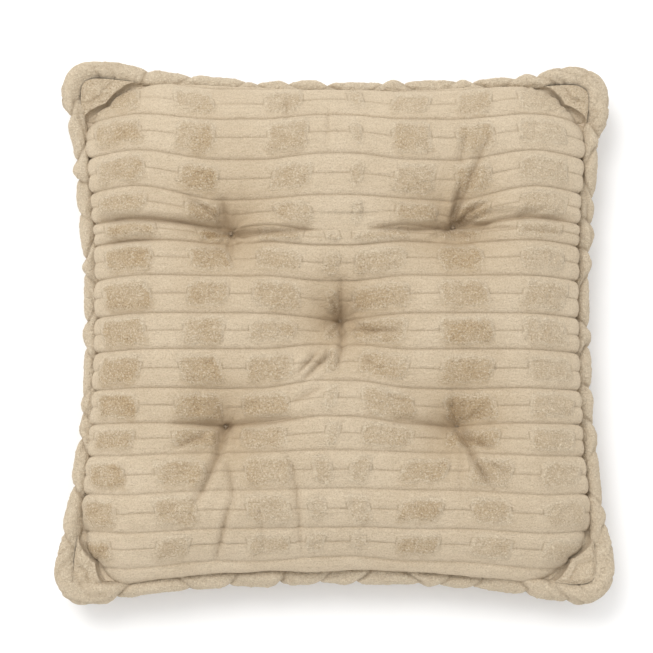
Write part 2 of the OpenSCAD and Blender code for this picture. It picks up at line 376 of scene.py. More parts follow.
def cubic(places, coarse):
    """Four neighbours on the coarse line for each place, and their cubic weights."""
    n = len(coarse)
    position = np.interp(places, coarse, np.arange(n))
    base = np.clip(np.floor(position).astype(int), 0, n - 2)
    f = position - base
    weights = (
        (-f ** 3 + 2 * f ** 2 - f) / 2, (3 * f ** 3 - 5 * f ** 2 + 2) / 2,
        (-3 * f ** 3 + 4 * f ** 2 + f) / 2, (f ** 3 - f ** 2) / 2,
    )
    return [(np.clip(base + step, 0, n - 1), w[..., None]) for step, w in zip((-1, 0, 1, 2), weights)]


def carried(moved, u, v):
    """The coarse grid's movement at the points u, v."""
    t = edge_dense(COARSE)
    columns, rows = cubic(u, t), cubic(v, t)
    return sum(wi * wj * moved[i, j] for i, wi in columns for j, wj in rows)


top_moved, bottom_moved = simulate_swelling()


# ---- Rows, blocks and folds of the top cover ----

TOP_COLUMNS = 330
ROW_STEPS = (            # places across a row, closer together at its lines and in its middle
    0, 0.03, 0.07, 0.13, 0.2, 0.28, 0.36, 0.43, 0.475, 0.5, 0.525, 0.57, 0.64, 0.72, 0.8, 0.87, 0.93, 0.97,
)
FRONT_STEPS, REAR_STEPS = 26, 42
LINE_SEARCH, LINE_SAMPLES = 0.965, 900    # range of v, and steps in it, where the lines are looked for

# Heights and depths of the plush, in millimetres
ROW_RISE = 1.5           # a row over the lines beside it
RIB_RISE = 0.2           # each half of a row
LINE_DEPTH = 0.9         # seam between two rows
DASH_DEPTH = 0.7         # short seam between two blocks
BLOCK_RISE = 1.3         # fuzzy block over its row
SIDE_DEPTH = 0.5         # groove at a block's sides
END_RIBS, END_LINES = 1.8, 1.8    # added to the ribs and the seams where the rows run into the side seams
END_DROP = 2.4           # how much lower the rows are there
CREASE_DEPTH, EAR_FOLD_DEPTH = 1.3, 1.0
WORN_ROWS, WORN_X, WORN_HALF = (10, 11), 12, 26    # where the seams between the rear tufts fade out
BLOCK_ROUND = 7.0        # corner radius of a block
TICK_FROM, TICK_TO = -1.5, 6.0    # a block's side seams, in millimetres behind the middle of the row
NO_TICK = 6.0            # mask value far from those seams
EVEN_PILE = 2.2          # mask value of the even pile of the edge roll and the ears

# Amount, size and seed of layers of noise
BLOCK_WOBBLE = ((1.6, 5.5, 3), (1.2, 2.6, 4))
PILE_LUMPS = ((1.0, 3.1, 21), (0.6, 5.2, 22))
SOFT_WAVES = ((0.5, 17, 23), (0.9, 41, 24))
EAR_WAVES = ((1.1, 8, 25), (0.8, 4, 26))


def row_lines(x):
    """The lines between the rows at x, one after another along the first axis, front to back."""
    sides = smooth(abs(x), 92, 165)
    middle = 1 - smooth(abs(x), 10, 60)
    droop = 1 - 0.02 * smooth(abs(x), 165, 205)
    return np.stack([
        (s * sides + m * middle + t * (1 - sides - middle)) * droop
        for s, t, m in zip(LINES_SIDE, LINES_TUFT, LINES_MIDDLE)
    ])


def top_grid():
    """u, v and row number of each point of the top cover's grid, whose lines follow the rows."""
    columns = edge_dense(TOP_COLUMNS)
    dense = np.linspace(-LINE_SEARCH, LINE_SEARCH, LINE_SAMPLES)
    u, v = np.meshgrid(columns, dense, indexing="ij")
    form = top_form(u, v, BULGE)
    lines = row_lines(form[..., 0])
    strips_v, strips_row = [], []
    for i in range(TOP_COLUMNS):
        at = [np.interp(0, form[i, :, 1] - lines[k, i], dense) for k in range(len(lines))]
        front = np.linspace(-1, at[0], FRONT_STEPS, endpoint=False)
        rear = np.linspace(at[-1], 1, REAR_STEPS)
        inner = [a + (b - a) * t for a, b in zip(at[:-1], at[1:]) for t in ROW_STEPS]
        number = [k + 1 + t for k in range(len(at) - 1) for t in ROW_STEPS]
        front_row = 1 - (at[0] - front) * HALF_D / ROW_PITCH
        rear_row = len(at) + (rear - at[-1]) * HALF_D / ROW_PITCH
        strips_v.append(np.concatenate([front, inner, rear]))
        strips_row.append(np.concatenate([front_row, number, rear_row]))
    v = np.array(strips_v)
    return np.repeat(columns[:, None], v.shape[1], 1), v, np.array(strips_row)


# Folds that run from the tufts or lie near them: points on the plan, depth and half width, in millimetres
FOLDS = (
    (((-190, 86), (-150, 84), (-117, 81), (-88, 76)), 6.2, 3.0),
    (((-187, 67), (-160, 67), (-140, 67)), 3.5, 2.4),
    (((-82, 74), (-50, 73.5), (-20, 74)), 6.0, 2.6),
    (((-90, 98), (-87, 79)), 4.0, 4.0),
    (((-118, 101), (-104, 93), (-90, 80)), 3.4, 2.4),
    (((-110, 89), (-95, 80)), 2.6, 2.2),
    (((-84, 71), (-83, 48)), 1.8, 2.4),
    (((92, 80), (66, 76), (28, 75)), 6.0, 2.6),
    (((98, 82), (118, 81), (134, 85), (154, 87), (190, 86)), 5.8, 3.0),
    (((112, 78), (146, 77)), 4.0, 2.0),
    (((151, 75), (176, 74)), 2.0, 2.2),
    (((95, 85), (103, 104), (111, 123), (124, 152)), 3.8, 2.8),
    (((99, 102), (101, 119)), 2.8, 2.6),
    (((101, 131), (104, 150)), 2.4, 2.6),
    (((98, 84), (109, 92), (122, 99)), 4.4, 2.2),
    (((100, 82), (120, 89), (146, 92)), 4.0, 2.0),
    (((93, 86), (97, 97), (99, 110)), 4.0, 2.4),
    (((148, 88), (170, 94)), 2.6, 2.4),
    (((4, 33), (4, 6)), 3.6, 3.2),
    (((4, 2), (5, -18), (1, -38)), 3.8, 2.2),
    (((-5, -26), (-15, -36), (-26, -48)), 5.4, 2.4),
    (((-15, -26), (-31, -43)), 4.4, 2.0),
    (((-11, -54), (-33, -65)), 3.0, 2.8),
    (((12, -3), (30, -7), (51, -8)), 3.8, 2.2),
    (((20, -26), (36, -42)), 2.0, 3.4),
    (((37, -57), (54, -66)), 1.6, 2.4),
    (((-128, -81), (-90, -82)), 3.2, 2.4),
    (((-86, -82), (-55, -80), (-30, -78)), 3.8, 2.4),
    (((-88, -86), (-94, -108), (-105, -134), (-112, -147)), 5.6, 3.0),
    (((-106, -92), (-130, -102)), 3.4, 2.8),
    (((-85, -116), (-80, -148)), 3.2, 2.4),
    (((-84, -146), (-91, -175), (-95, -189)), 4.0, 2.4),
    (((-38, -109), (-33, -120), (-30, -147), (-27, -186)), 3.0, 2.6),
    (((-61, -147), (-56, -182)), 1.4, 2.4),
    (((48, -79), (72, -81), (94, -83)), 3.2, 3.4),
    (((100, -88), (110, -111), (124, -134)), 5.2, 3.0),
    (((104, -92), (125, -102)), 4.4, 3.8),
    (((120, -110), (137, -124)), 2.8, 2.8),
    (((99, -98), (99, -145)), 1.4, 2.2),
    (((93, -56), (93, -77)), 2.0, 2.4),
    (((-39, 184), (-40, 168)), 2.0, 1.8),
    (((-6, 180), (-7, 138)), 1.3, 1.8),
)


def fold_depth(x, y):
    """Depth of all folds, and a mask of painted shade in their sharp creases, at points on the plan."""
    depth, crease = np.zeros_like(x), np.zeros_like(x)
    for points, deep, half_width in FOLDS:
        p = np.array(points, float)
        lengths = np.linalg.norm(np.diff(p, axis=0), axis=1)
        total, before = lengths.sum(), 0.0
        best, share = np.full_like(x, 1e9), np.zeros_like(x)
        for a, b, length in zip(p[:-1], p[1:], lengths):
            d = (b - a) / length
            along = np.clip((x - a[0]) * d[0] + (y - a[1]) * d[1], 0, length)
            dist = np.hypot(x - a[0] - along * d[0], y - a[1] - along * d[1])
            closer = dist < best
            best = np.where(closer, dist, best)
            share = np.where(closer, (before + along) / total, share)
            before += length
        taper = np.sqrt(np.clip(np.sin(np.pi * np.clip(0.12 + 0.86 * share, 0, 1)), 0, 1))
        valley = deep * taper * hump(best, half_width, 1.3)
        ridge = 0.25 * deep * taper * hump(best - 2.4 * half_width, 1.3 * half_width)
        depth += valley - ridge
        crease = np.maximum(crease, taper * hump(best, 0.5 * half_width) * min(1, deep / 4.5))
    return depth, crease


def tuft_gathers(x, y):
    """Small pleats that run out from each tuft."""
    total = np.zeros_like(x)
    for number, (tx, ty) in enumerate(TUFTS.values()):
        draw = np.random.default_rng(40 + number)
        dx, dy = x - tx, y - ty
        r, angle = np.hypot(dx, dy), np.arctan2(dy, dx)
        pleats = sum(draw.uniform(0.3, 0.8) * np.cos(n * angle + draw.uniform(0, 6.3)) for n in (5, 8, 11))
        total += pleats * hump(r - 13, 9)
    return total


def block_masks(k, x, rearward):
    """For each point the distance outside the nearest fuzzy block's sides (negative inside), how dark the
    painted shade in that block's pile is, and its share of the row's height. rearward is the distance
    behind the middle of the row.
    """
    gap, strength, share_of_row = np.full_like(x, 99.0), np.zeros_like(x), np.full_like(x, 0.37)
    draw = np.random.default_rng(11)
    for blocks, first, last in ZONES:
        for number in range(first, last + 1):
            share = (number - first) / (last - first)
            here = k == number
            for left0, right0, left1, right1, dark in blocks:
                left = left0 + (left1 - left0) * share + draw.uniform(-1.5, 1.5)
                right = right0 + (right1 - right0) * share + draw.uniform(-1.5, 1.5)
                strong = dark * draw.uniform(0.65, 1.1)
                slant, tall = draw.uniform(-0.3, 0.3), draw.uniform(0.33, 0.42)
                outside = abs(x - (left + right) / 2 - slant * rearward) - (right - left) / 2 - 1.2
                nearest = here & (outside < gap)
                gap = np.where(nearest, outside, gap)
                strength = np.where(nearest, strong, strength)
                share_of_row = np.where(nearest, tall, share_of_row)
    return gap, strength, share_of_row


def row_heights(k, x):
    """Distance between the two lines of each point's row."""
    inner = np.diff(row_lines(x), axis=0)
    outer = np.full_like(inner[:1], ROW_PITCH)
    heights = np.concatenate([outer, inner, outer, outer])
    return np.take_along_axis(heights, np.clip(k, 0, len(heights) - 1)[None], 0)[0]


def inside_blocks(x, y, from_sides, from_ends):
    """Distance inside the blocks' ragged, rounded outline, negative outside."""
    inward = np.stack([from_sides, from_ends])
    rounded = BLOCK_ROUND - np.hypot(*np.clip(BLOCK_ROUND - inward, 0, None))
    return np.clip(np.minimum(inward.min(0), rounded) + 0.8 * layered_noise(x, y, BLOCK_WOBBLE), -8, 8)


def stretch_to_tufts(x, y):
    """How far the pits draw the blocks aside along the rows."""
    return sum(0.15 * (x - tx) * hump(np.hypot(x - tx, y - ty), 30) for tx, ty in TUFTS.values())


def rows_and_blocks(row, x, y, across):
    """Height of the rows and fuzzy blocks over the smooth form, and the masks that colour the plush, among
    them painted shade in the blocks' pile and in the seams and dashes.
    """
    k = np.floor(row).astype(int)
    t = row - k
    height = row_heights(k, x)
    rearward = (t - 0.5) * height
    from_line, from_middle = np.minimum(t, 1 - t) * height, abs(t - 0.5) * height
    thin = np.clip(height / 29, 0.5, 1)
    ends = 1 - smooth(across, 0, 15)
    worn = 1 - hump(x - WORN_X, WORN_HALF, 4) * np.isin(k, WORN_ROWS)
    only_line = np.where(abs(row - WORN_ROWS[1]) < 0.5, worn, 1.0)

    gap, strength, share_of_row = block_masks(k, x + stretch_to_tufts(x, y), rearward)
    from_ends = share_of_row * height - from_middle
    inside = inside_blocks(x, y, -gap, from_ends)
    block = smooth(inside, -0.6, 2.6)
    # painted shade in the block's pile, reaching further towards the front of the row
    core = smooth(inside - 0.2 * rearward, -1.0, 5.5)
    tone = strength * core * (0.8 + 0.4 * value_noise(x, y, 9, 5))

    line = hump(from_line, 0.75) * only_line * (1 - 0.35 * smooth(-y, 60, 120) * (1 - ends))
    dash = hump(from_middle, 0.55) * smooth(gap, 0.0, 1.2) * worn
    ribs = 1 - abs(4 * abs(t - 0.5) - 1) ** 2
    row_round = 1 - abs(2 * t - 1) ** 3.4

    relief = ROW_RISE * thin * row_round * only_line
    relief += (RIB_RISE * (1 - block) * worn + END_RIBS * ends) * ribs * thin
    relief -= (LINE_DEPTH + END_LINES * ends) * line + DASH_DEPTH * dash * (1 - ends)
    relief += BLOCK_RISE * block * (0.6 + 0.4 * strength) - END_DROP * ends
    relief -= SIDE_DEPTH * hump(gap, 0.9) * smooth(from_ends, 0, 2) * (1 - ends)
    # painted shade in the seams between rows and in the dashes
    groove = np.maximum((0.8 + 0.2 * ends) * line, 0.75 * dash)
    has_tick = (rearward > TICK_FROM) & (rearward < TICK_TO) & (ends < 0.5)
    return relief, inside, tone, groove, np.where(has_tick, np.clip(gap, -NO_TICK, NO_TICK), NO_TICK)


def grid_normals(p):
    n = np.cross(np.gradient(p, axis=0), np.gradient(p, axis=1))
    return n / np.maximum(np.linalg.norm(n, axis=-1, keepdims=True), 1e-9)


def add_masks(obj, **masks):
    """Point attributes that the plush material reads."""
    for name, values in masks.items():
        attribute = obj.data.attributes.new(name, "FLOAT", "POINT")
        attribute.data.foreach_set("value", np.asarray(values, np.float32).ravel())


def make_top():
    """The top cover, and its points in millimetres."""
    u, v, row = top_grid()
    across, along, crease = rims(u, v)[:3]
    from_seam = np.minimum(across, along)
    free = 0.25 + 0.75 * smooth(np.minimum(from_seam, crease), 4, 45)
    p = top_form(u, v, BULGE) + carried(top_moved, u, v) * free[..., None]
    x, y = p[..., 0], p[..., 1]
    rows, inside, tone, groove, tick = rows_and_blocks(row, x, y, across)
    folds, fold_shade = fold_depth(x, y)
    filled, near_tuft = smooth(crease, 0, 5), pit(x, y, 1.0)
    relief = rows * filled * (1 - 0.6 * near_tuft) - folds + tuft_gathers(x, y)
    pile = smooth(inside, -0.6, 2.0) * filled
    relief += (0.18 + 0.55 * pile) * layered_noise(x, y, PILE_LUMPS) + layered_noise(x, y, SOFT_WAVES)
    on_ear, in_crease = 1 - smooth(crease, -4, 0), hump(crease, 1.4)
    ear_fold = on_ear * hump(crease + 10 + 2.5 * value_noise(x, y, 14, 27), 1.2)
    relief += on_ear * layered_noise(x, y, EAR_WAVES) - CREASE_DEPTH * in_crease - EAR_FOLD_DEPTH * ear_fold
    fade = smooth(from_seam, 0.0, 3.0)
    p = p + grid_normals(p) * (relief * fade)[..., None]

    obj = mesh_of("plush_top", p.reshape(-1, 3), grid_faces(np.arange(u.size).reshape(u.shape)))
    # painted shade round the pits and on the ears, more on the rear ears
    shaded = 0.6 * pit(x, y, 0.0) ** 1.2 + np.where(v > 0, 0.4, 0.2) * on_ear
    # painted shade in the seams, folds, ear creases and ear folds
    shade_in_creases = groove * filled + fold_shade + 0.8 * in_crease + 0.6 * ear_fold
    # these masks carry painted shade to the material: in the pile, round the pits and on the ears; in the
    # creases; and in the pits
    add_masks(
        obj, inside=np.where(filled > 0.5, inside, EVEN_PILE * smooth(-crease, 0, 3)),
        tone=tone * filled + shaded, tick=np.where(filled > 0.5, tick, NO_TICK),
        groove=np.clip(shade_in_creases * fade, 0, 1), pit=near_tuft,
    )
    return obj, p.reshape(-1, 3)


# ---- Underside ----

UNDER_N = 200            # points along each side of the bottom cover's grid
PUCKER_PITCH = 23.0


def make_bottom():
    """The bottom cover, and its points in millimetres."""
    t = edge_dense(UNDER_N)
    u, v = np.meshgrid(t, t, indexing="ij")
    p = bottom_form(u, v)
    p = p + carried(bottom_moved, u, v) * smooth(p[..., 2], 0.5, 12)[..., None]
    x, y = p[..., 0], p[..., 1]
    rim = np.minimum(1 - abs(u), 1 - abs(v))
    phase = 2 * np.pi * (x + y) / PUCKER_PITCH + 2 * value_noise(x, y, 40, 31)
    relief = 0.8 * np.cos(phase) * np.exp(-rim / 0.05) + 0.5 * value_noise(x, y, 30, 32)
    for tx, ty in TUFTS.values():
        dx, dy = x - tx, y - ty
        relief += 0.9 * np.cos(7 * np.arctan2(dy, dx)) * hump(np.hypot(dx, dy) - 16, 12)
    p = p - grid_normals(p) * (relief * smooth(rim, 0, 0.02))[..., None]
    p[..., 2] = np.maximum(p[..., 2], 0)
    index = np.arange(UNDER_N * UNDER_N).reshape(UNDER_N, UNDER_N)
    return mesh_of("backing_bottom", p.reshape(-1, 3), grid_faces(index)[:, ::-1]), p.reshape(-1, 3)


# ---- Edge roll ----

ROLL_STATIONS, ROLL_STEPS = 2600, 36      # points along the roll and round it
SEAM_SIDE_SAMPLES = 1000
ROLL_FULL = 1.02         # size of the roll between pinches, times the frame's
ROLL_OFFSET = 0.78       # distance of the roll's centre outside the seam, in radii
PINCH_CUT, PINCH_DIP = 3.6, 1.7           # depth of a pinch's sharp cut and of the wide dip round it
PINCH_SWELL, SWELL_AT = 1.3, 8            # the swelling beside it
TWIST_RUN = 27           # distance along the roll in which the winding crease turns by one radian
TWIST_DEPTH = 1.3
PLUMP_CORNERS = (0.26, 0.22, 0.24, 0.28)  # front left, front right, rear right, rear left
# Where the roll is pinched, in millimetres along each side
PINCHES = {
    "front": (-168, -122, -80, -41, -6, 25, 60, 90, 116, 150, 178),
    "right": (-168, -138, -105, -74, -45, -20, 6, 37, 66, 91, 118, 143, 166),
    "rear": (173, 143, 120, 93, 62, 32, 1, -31, -58, -80, -126, -158),
    "left": (184, 146, 121, 91, 66, 40, 12, -24, -50, -72, -98, -134, -174),
}


def pinch_places(p, side_of, along):
    """Distances along the seam of the pinches, in order."""
    places = []
    for number, name in enumerate(("front", "right", "rear", "left")):
        axis = p[:, number % 2]
        for place in PINCHES[name]:
            off = np.where(side_of == number, abs(axis - place), 1e9)
            places.append(along[off.argmin()])
    return np.sort(places)


def seam_path(n):
    """n points along the seam with their outward directions and distances along it, the seam's length, and
    the distances of its pinches and corners.
    """
    fine = 4 * SEAM_SIDE_SAMPLES
    a = np.linspace(0, 4, fine, endpoint=False)
    side_of, f = a.astype(int), (a % 1) * 2 - 1
    u = np.choose(side_of, [f, np.ones(fine), -f, -np.ones(fine)])
    v = np.choose(side_of, [-np.ones(fine), f, np.ones(fine), -f])
    p = np.stack(plan(u, v), -1)
    step = np.linalg.norm(np.roll(p, -1, 0) - p, axis=1)
    along = np.concatenate([[0], np.cumsum(step)])
    want = np.linspace(0, along[-1], n, endpoint=False)
    closed = np.vstack([p, p[:1]])
    q = np.stack([np.interp(want, along, closed[:, i]) for i in (0, 1)], -1)
    d = np.roll(q, -2, 0) - np.roll(q, 2, 0)
    d /= np.linalg.norm(d, axis=1, keepdims=True)
    out = np.stack([d[:, 1], -d[:, 0]], -1)
    return q, out, want, along[-1], pinch_places(p, side_of, along), along[:fine:SEAM_SIDE_SAMPLES]


def around(s, place, length):
    """Signed distance along the closed seam from a place."""
    return (s - place + length / 2) % length - length / 2


def periodic_noise(s, length, size, seed):
    """Smooth noise from -1 to 1 along the closed seam."""
    n = max(4, int(round(length / size)))
    table = np.random.default_rng(seed).uniform(-1, 1, n)
    g = s / length * n
    i = np.floor(g).astype(int)
    f = g - i
    f = f * f * (3 - 2 * f)
    return table[i % n] * (1 - f) + table[(i + 1) % n] * f


def lobes(s, pinches, draw, most):
    """A random offset for each stretch between two pinches, with short changes from one to the next."""
    offsets = draw.uniform(-most, most, len(pinches))
    steps = offsets[np.searchsorted(pinches, s) % len(pinches)]
    return sum(np.roll(steps, shift) for shift in range(-5, 6)) / 11


def pinched(s, a, length, pinches, draw):
    """How deep the pinches cut into the roll, and the mask of painted shade in their grooves."""
    cut, groove = np.zeros_like(s), np.zeros_like(s)
    for place in pinches:
        lean, deep, way = draw.uniform(3, 9), draw.uniform(0.5, 1.0), draw.choice((-1, 1))
        d = around(s, place + way * lean * np.cos(a) + 1.5 * np.sin(2 * a), length)
        outer = 0.55 + 0.45 * np.cos(a - 0.5)
        swell = PINCH_SWELL * hump(d - way * SWELL_AT, 6)
        cut += outer * deep * (PINCH_CUT * hump(d, 2.2, 1.1) - swell + PINCH_DIP * hump(d, 9))
        groove = np.maximum(groove, deep * hump(d, 1.5))
    return cut, groove


def twisted(s, a, length):
    """How deep the crease that winds round parts of the roll cuts into it, and the mask of painted shade in
    its groove.
    """
    twist = a - s / TWIST_RUN + 1.3 * periodic_noise(s, length, 90, 56)
    off = abs((twist + np.pi) % (2 * np.pi) - np.pi) * ROLL_R
    some = smooth(periodic_noise(s, length, 60, 57), -0.1, 0.5)
    return TWIST_DEPTH * some * hump(off, 1.7), 0.7 * some * hump(off, 1.3)


def roll_waves(s, a, length, corners):
    """Unevenness of the roll and its plush, and the mask of painted shade in the folds at its corners."""
    girth = a * ROLL_R
    waves = 0.4 * np.cos(3 * a + s / 19) + 0.3 * np.cos(2 * a - s / 31)
    at_corner = sum(hump(around(s, c, length), 40, 4) for c in corners)
    fold = hump(value_noise(s / 2.6, girth + 0.4 * s, 7, 60), 0.10)
    waves += at_corner * (0.9 * value_noise(s, girth, 9, 61) - fold)
    waves += 0.3 * value_noise(s, girth, 3.2, 53) + 0.3 * value_noise(s / 3.5, girth, 2.4, 58)
    return waves + 0.28 * value_noise(s, girth, 1.5, 59), 0.6 * at_corner * fold


def ring_faces(stations, steps):
    """Faces of a closed tube, going along it and round it."""
    i, j = np.meshgrid(np.arange(stations), np.arange(steps), indexing="ij")
    i2, j2 = (i + 1) % stations, (j + 1) % steps
    return np.stack([(m * steps + n).ravel() for m, n in ((i, j), (i2, j), (i2, j2), (i, j2))], -1)


def make_roll():
    centre, out, s, length, pinches, corners = seam_path(ROLL_STATIONS)
    draw = np.random.default_rng(5)
    a = np.linspace(0, 2 * np.pi, ROLL_STEPS, endpoint=False)
    ss, aa = np.meshgrid(s, a, indexing="ij")
    plump = sum(more * hump(around(s, c, length), 36) for c, more in zip(corners, PLUMP_CORNERS))
    size = ROLL_R * (ROLL_FULL + plump)
    uneven = 1 + 0.05 * periodic_noise(ss, length, 40, 51) + 0.04 * periodic_noise(ss, length, 17, 52)
    cut, pinch_groove = pinched(ss, aa, length, pinches, draw)
    crease, crease_groove = twisted(ss, aa, length)
    waves, corner_groove = roll_waves(ss, aa, length, corners)
    r = size[:, None] * uneven - cut - crease + waves
    drift = 0.6 * periodic_noise(s, length, 50, 54) + lobes(s, pinches, draw, 0.9)
    rise = 0.8 * periodic_noise(s, length, 70, 55) + lobes(s, pinches, draw, 1.2)
    reach = (ROLL_OFFSET * size + drift)[:, None] + r * np.cos(aa)
    x = centre[:, :1] + out[:, :1] * reach
    y = centre[:, 1:] + out[:, 1:] * reach
    z = SEAM_Z + rise[:, None] + r * np.sin(aa)
    points = np.stack([x, y, z], -1).reshape(-1, 3)
    obj = mesh_of("edge_roll", points, ring_faces(ROLL_STATIONS, ROLL_STEPS))
    # painted shade in the roll's pinches, winding crease and corner folds
    groove = np.maximum(np.maximum(pinch_groove, crease_groove), corner_groove)
    none = np.zeros_like(ss)
    add_masks(
        obj, inside=none + EVEN_PILE, tone=none, tick=none + NO_TICK,
        groove=np.clip(groove, 0, 1), pit=none,
    )
    return obj


# ---- Thread: tuft ties and the seam's stitches ----

TWINE_R, THREAD_R = 0.6, 0.45
TIE_HALF = 1.7           # half the width of a tuft's cross stitch and of its knot
KNOT_LENGTH, KNOT_R = 3.2, 1.5
TAIL = 11.0              # length of the knot's tails
STITCH_INSET = 1.6       # distance of the stitches inside the seam
STITCHES, BY_HAND = 262, 16      # all stitches round the seam, and how many of them are sewn by hand


def tube(path, radius, steps=8):
    """Points and faces of a round tube along a path of points, with closed ends."""
    path = np.asarray(path, float)
    radius = np.broadcast_to(radius, len(path))
    along = np.gradient(path, axis=0)
    along /= np.linalg.norm(along, axis=1, keepdims=True)
    normal = np.cross(along[0], (0.3, 0.5, 0.8))
    points = []
    for p, d, r in zip(path, along, radius):
        normal = normal - d * np.dot(normal, d)
        normal /= np.linalg.norm(normal)
        other = np.cross(d, normal)
        angles = np.arange(steps) * 2 * np.pi / steps
        points.append(p + r * (np.outer(np.cos(angles), normal) + np.outer(np.sin(angles), other)))
    n = len(path)
    faces = [
        (i * steps + j, i * steps + (j + 1) % steps, (i + 1) * steps + (j + 1) % steps, (i + 1) * steps + j)
        for i in range(n - 1) for j in range(steps)
    ]
    faces += [tuple(range(steps))[::-1], tuple(range((n - 1) * steps, n * steps))]
    return np.concatenate(points), faces


def joined(parts):
    """Several lots of points and faces as one."""
    points, faces, start = [], [], 0
    for p, f in parts:
        points.append(p)
        faces += [tuple(start + i for i in face) for face in f]
        start += len(p)
    return np.concatenate(points), faces


def height_under(points, x, y):
    """Height of the cover's point nearest to x, y."""
    near = np.hypot(points[:, 0] - x, points[:, 1] - y)
    return points[near.argmin(), 2]


def cross_stitch(x, y, high, low, turn):
    """Two bars of twine that cross in the pit, with their ends going down through the pad."""
    f = np.linspace(-1, 1, 15)
    bars = []
    for angle in (turn, turn + 1.3):
        c, s = np.cos(angle), np.sin(angle)
        bar = np.stack([x + TIE_HALF * f * c, y + TIE_HALF * f * s, high - 1.5 * f ** 4], -1)
        down = [(x + TIE_HALF * k * c, y + TIE_HALF * k * s, low + 1.0) for k in (-1, 1)]
        bars.append(tube(np.vstack([down[0], bar, down[1]]), TWINE_R))
    return bars


def make_tie(name, place, top_points, bottom_points):
    """A loop of twine through the pad: a small cross stitch in the pit and a knot with two tails below."""
    x, y = TUFTS[place]

    def heights(points):
        return points[np.hypot(points[:, 0] - x, points[:, 1] - y) < 3.0, 2]

    high, low = heights(top_points).mean() - 0.5, heights(bottom_points).min()
    draw = np.random.default_rng(60 + TUFT_NAMES.index(place))
    parts = cross_stitch(x, y, high, low, draw.uniform(0, np.pi))
    a = np.linspace(0, 5 * np.pi, 60)
    knot_x, knot_y = x + TIE_HALF * np.cos(a), y + (a / a[-1] - 0.5) * KNOT_LENGTH
    parts.append(tube(np.stack([knot_x, knot_y, low - 0.3 + KNOT_R * np.sin(a)], -1), TWINE_R))
    f = np.linspace(0, 1, 16)
    for way in (-1, 1):
        bend = draw.uniform(-2, 2)
        tail_x = x + way * (1.2 + TAIL * f)
        tail_y = y + way * 1.6 * (1 - f) + bend * np.sin(np.pi * f)
        below = [height_under(bottom_points, px, py) for px, py in zip(tail_x, tail_y)]
        tail_z = np.maximum(np.array(below) - TWINE_R - 0.2, TWINE_R)
        parts.append(tube(np.stack([tail_x, tail_y, tail_z], -1), TWINE_R * (1 - 0.25 * f)))
    return mesh_of(name, *joined(parts))


def make_stitches():
    """Lockstitches on the underside inside the edge roll, and the hand-sewn ones that close the back."""
    centre, out = (path[::4] for path in seam_path(STITCHES * 4)[:2])
    from_back = np.hypot(centre[:, 0], centre[:, 1] - HALF_D)
    by_hand = set(from_back.argsort()[:BY_HAND])
    lots = {"seam_stitches": [], "closing_whipstitches": []}
    f = np.linspace(-1, 1, 5)
    for i, (q, o) in enumerate(zip(centre, out)):
        along = np.array([-o[1], o[0]])
        slant, half = (1.3, 2.0) if i in by_hand else (0.0, 2.5)
        line = q - o * STITCH_INSET + np.outer(f * half, along) + np.outer(f * slant, o)
        z = SEAM_Z - RIM - 0.35 - 0.25 * (1 - f * f)
        piece = tube(np.column_stack([line, z]), THREAD_R * np.array([0.4, 0.9, 1, 0.9, 0.4]), 6)
        lots["closing_whipstitches" if i in by_hand else "seam_stitches"].append(piece)
    return [mesh_of(name, *joined(parts)) for name, parts in lots.items()]


# ---- Materials ----

def nodes_of(name):
    """A new material, its node tree and its shader."""
    material = bpy.data.materials.new(name)
    material.use_nodes = True
    tree = material.node_tree
    return material, tree, tree.nodes["Principled BSDF"]


def feed(tree, socket, value):
    """Link a socket, or set it to a number or colour."""
    if isinstance(value, bpy.types.NodeSocket):
        tree.links.new(value, socket)
    else:
        socket.default_value = (*value, 1) if isinstance(value, tuple) else value


def mix(tree, factor, a, b):
    node = tree.nodes.new("ShaderNodeMix")
    node.data_type = "RGBA"
    for name, value in (("Factor", factor), ("A", a), ("B", b)):
        feed(tree, node.inputs[name], value)
    return node.outputs["Result"]


def math_node(tree, operation, *values):
    node = tree.nodes.new("ShaderNodeMath")
    node.operation = operation
    for socket, value in zip(node.inputs, values):
        feed(tree, socket, value)
    return node.outputs[0]


def noise(tree, scale, detail, roughness, stretch=(1, 1, 1)):
    coords = tree.nodes.new("ShaderNodeTexCoord")
    mapping = tree.nodes.new("ShaderNodeMapping")
    mapping.inputs["Scale"].default_value = stretch
    node = tree.nodes.new("ShaderNodeTexNoise")
    node.inputs["Scale"].default_value = scale
    node.inputs["Detail"].default_value = detail
    node.inputs["Roughness"].default_value = roughness
    tree.links.new(coords.outputs["Object"], mapping.inputs["Vector"])
    tree.links.new(mapping.outputs["Vector"], node.inputs["Vector"])
    return node.outputs["Fac"]


def ramp(tree, value, low, high):
    """0 at low and 1 at high, with a straight slope between and level beyond. low may be the larger."""
    node = tree.nodes.new("ShaderNodeMapRange")
    node.inputs["From Min"].default_value = low
    node.inputs["From Max"].default_value = high
    tree.links.new(value, node.inputs["Value"])
    return node.outputs["Result"]


def attribute(tree, name):
    """A point attribute of the piece."""
    node = tree.nodes.new("ShaderNodeAttribute")
    node.attribute_name = name
    return node.outputs["Fac"]


def add_bump(tree, shader, height, distance, strength):
    bump = tree.nodes.new("ShaderNodeBump")
    bump.inputs["Distance"].default_value = distance
    bump.inputs["Strength"].default_value = strength
    tree.links.new(height, bump.inputs["Height"])
    tree.links.new(bump.outputs["Normal"], shader.inputs["Normal"])


PLUSH, PLUSH_LIGHTER = (0.63, 0.515, 0.37), (0.69, 0.575, 0.425)
TIP = (0.80, 0.70, 0.54)         # ends of the fibres, where they catch the light


